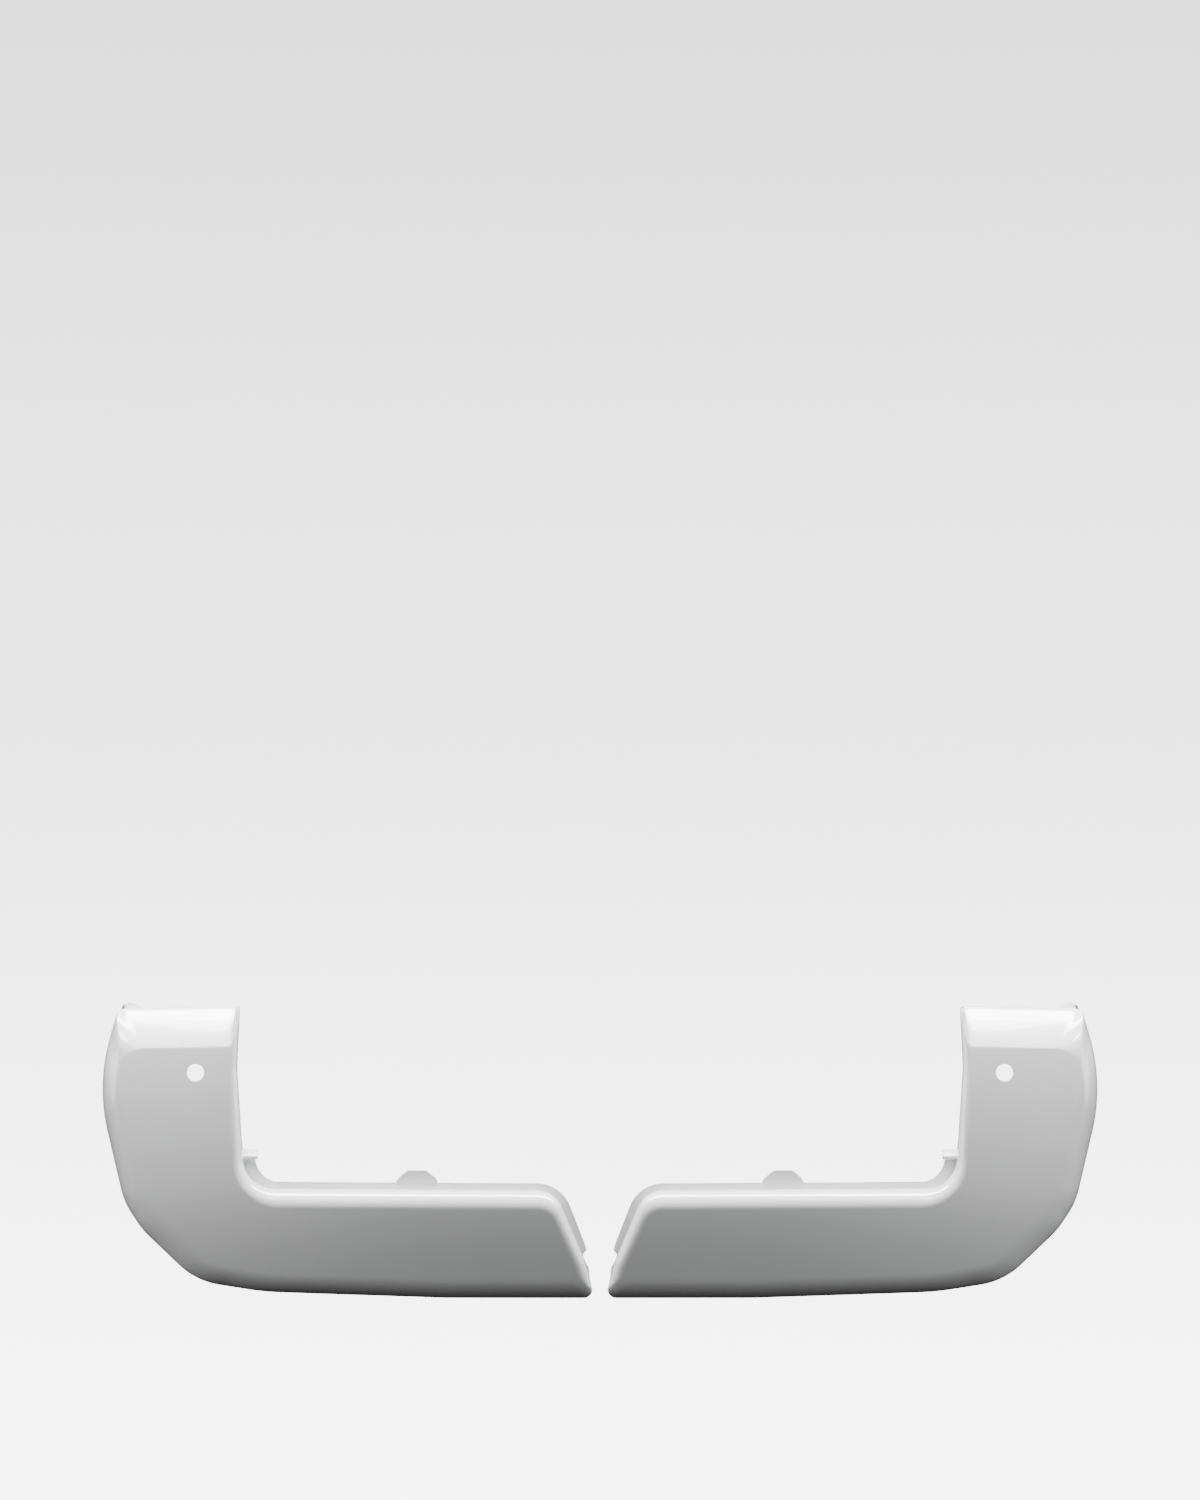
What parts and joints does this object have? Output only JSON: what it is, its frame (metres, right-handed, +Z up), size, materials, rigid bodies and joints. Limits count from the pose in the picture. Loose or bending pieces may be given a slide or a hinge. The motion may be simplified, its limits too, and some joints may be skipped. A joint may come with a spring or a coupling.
{
  "type": "bumper cover",
  "caption": "Mirrored pair of thin gloss white rear bumper corner covers for a pickup truck, with sensor holes, locating tabs, and foam tape under release liners.",
  "frame": {"origin": "midway between the two covers at the height of their lowest edge, at mid-depth", "axes": "+X to the right as seen from behind the vehicle, +Y forwards into the vehicle, away from the shown face, +Z up"},
  "size_m": [1.3938, 0.2498, 0.4155],
  "materials": {
    "painted_shell": "gloss white moulded plastic",
    "foam_tape": "dark grey acrylic foam",
    "release_liner": "red translucent film, satin"
  },
  "bodies": {
    "left_cover": {"left_skin": "painted_shell", "left_shoulder_tape": "foam_tape", "left_column_tape": "foam_tape", "left_side_tape": "foam_tape", "left_sweep_tape": "foam_tape", "left_bar_lower_tape": "foam_tape", "left_bar_upper_tape": "foam_tape", "left_end_tape": "foam_tape"},
    "right_cover": {"right_skin": "painted_shell", "right_shoulder_tape": "foam_tape", "right_column_tape": "foam_tape", "right_side_tape": "foam_tape", "right_sweep_tape": "foam_tape", "right_bar_lower_tape": "foam_tape", "right_bar_upper_tape": "foam_tape", "right_end_tape": "foam_tape"},
    "left_shoulder_liner": {"left_shoulder_liner": "release_liner"},
    "left_column_liner": {"left_column_liner": "release_liner"},
    "left_side_liner": {"left_side_liner": "release_liner"},
    "left_sweep_liner": {"left_sweep_liner": "release_liner"},
    "left_bar_lower_liner": {"left_bar_lower_liner": "release_liner"},
    "left_bar_upper_liner": {"left_bar_upper_liner": "release_liner"},
    "left_end_liner": {"left_end_liner": "release_liner"},
    "right_shoulder_liner": {"right_shoulder_liner": "release_liner"},
    "right_column_liner": {"right_column_liner": "release_liner"},
    "right_side_liner": {"right_side_liner": "release_liner"},
    "right_sweep_liner": {"right_sweep_liner": "release_liner"},
    "right_bar_lower_liner": {"right_bar_lower_liner": "release_liner"},
    "right_bar_upper_liner": {"right_bar_upper_liner": "release_liner"},
    "right_end_liner": {"right_end_liner": "release_liner"}
  },
  "joints": [
    {"name": "right_cover_slide", "type": "slide", "parent": "left_cover", "child": "right_cover", "axis": [1, 0, 0], "range_m": [0, 0.38]},
    {"name": "left_shoulder_peel", "type": "slide", "parent": "left_cover", "child": "left_shoulder_liner", "axis": [0, 1, 0], "range_m": [0, 0.1]},
    {"name": "left_column_peel", "type": "slide", "parent": "left_cover", "child": "left_column_liner", "axis": [0, 1, 0], "range_m": [0, 0.1]},
    {"name": "left_side_peel", "type": "slide", "parent": "left_cover", "child": "left_side_liner", "axis": [0, 1, 0], "range_m": [0, 0.1]},
    {"name": "left_sweep_peel", "type": "slide", "parent": "left_cover", "child": "left_sweep_liner", "axis": [0, 1, 0], "range_m": [0, 0.1]},
    {"name": "left_bar_lower_peel", "type": "slide", "parent": "left_cover", "child": "left_bar_lower_liner", "axis": [0, 1, 0], "range_m": [0, 0.1]},
    {"name": "left_bar_upper_peel", "type": "slide", "parent": "left_cover", "child": "left_bar_upper_liner", "axis": [0, 1, 0], "range_m": [0, 0.1]},
    {"name": "left_end_peel", "type": "slide", "parent": "left_cover", "child": "left_end_liner", "axis": [0, 1, 0], "range_m": [0, 0.1]},
    {"name": "right_shoulder_peel", "type": "slide", "parent": "right_cover", "child": "right_shoulder_liner", "axis": [0, 1, 0], "range_m": [0, 0.1]},
    {"name": "right_column_peel", "type": "slide", "parent": "right_cover", "child": "right_column_liner", "axis": [0, 1, 0], "range_m": [0, 0.1]},
    {"name": "right_side_peel", "type": "slide", "parent": "right_cover", "child": "right_side_liner", "axis": [0, 1, 0], "range_m": [0, 0.1]},
    {"name": "right_sweep_peel", "type": "slide", "parent": "right_cover", "child": "right_sweep_liner", "axis": [0, 1, 0], "range_m": [0, 0.1]},
    {"name": "right_bar_lower_peel", "type": "slide", "parent": "right_cover", "child": "right_bar_lower_liner", "axis": [0, 1, 0], "range_m": [0, 0.1]},
    {"name": "right_bar_upper_peel", "type": "slide", "parent": "right_cover", "child": "right_bar_upper_liner", "axis": [0, 1, 0], "range_m": [0, 0.1]},
    {"name": "right_end_peel", "type": "slide", "parent": "right_cover", "child": "right_end_liner", "axis": [0, 1, 0], "range_m": [0, 0.1]}
  ]
}
